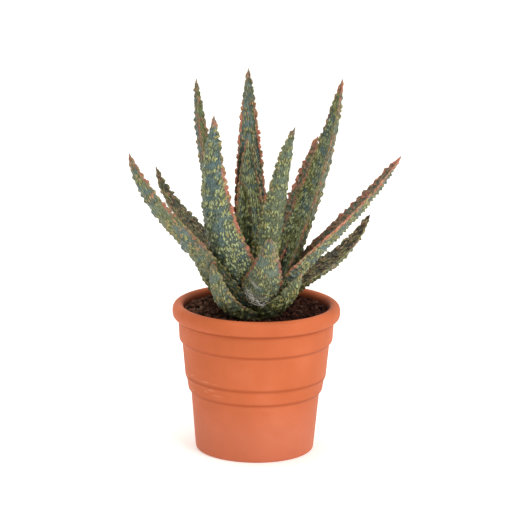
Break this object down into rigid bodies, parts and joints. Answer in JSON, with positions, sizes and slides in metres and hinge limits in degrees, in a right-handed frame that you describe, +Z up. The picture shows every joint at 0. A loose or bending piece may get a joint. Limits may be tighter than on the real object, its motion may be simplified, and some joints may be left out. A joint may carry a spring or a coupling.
{
  "type": "potted aloe plant",
  "caption": "Potted aloe: a rosette of upright toothed and spotted succulent leaves, in soil in a tapered terracotta-coloured pot with a rolled rim and stepped rings.",
  "frame": {"origin": "centre of the pot's flat underside", "axes": "+Z up along the pot's axis, -Y towards the viewer of the picture, +X to that viewer's right"},
  "size_m": [0.2116, 0.1635, 0.3057],
  "materials": {
    "pot_clay": "matte unglazed terracotta",
    "soil": "dark crumbly peat and bark",
    "stem": "fibrous leaf sheaths",
    "leaf": "satin succulent skin, blue-green with yellow-green raised spots and coral margins"
  },
  "bodies": {
    "root": {"pot": "pot_clay", "soil": "soil", "stem": "stem", "leaf_short_left": "leaf", "leaf_short_right": "leaf", "leaf_low_left": "leaf", "leaf_low_front": "leaf", "leaf_low_right": "leaf", "leaf_back_low": "leaf", "leaf_far_left": "leaf", "leaf_far_right": "leaf", "leaf_back_left": "leaf", "leaf_back_middle": "leaf", "leaf_back_right": "leaf", "leaf_front_left": "leaf", "leaf_tall_right": "leaf", "leaf_tall_left": "leaf", "leaf_behind_right": "leaf", "leaf_front_right": "leaf", "leaf_tall_back": "leaf", "leaf_inner_back": "leaf", "leaf_inner_bud": "leaf"}
  },
  "joints": []
}
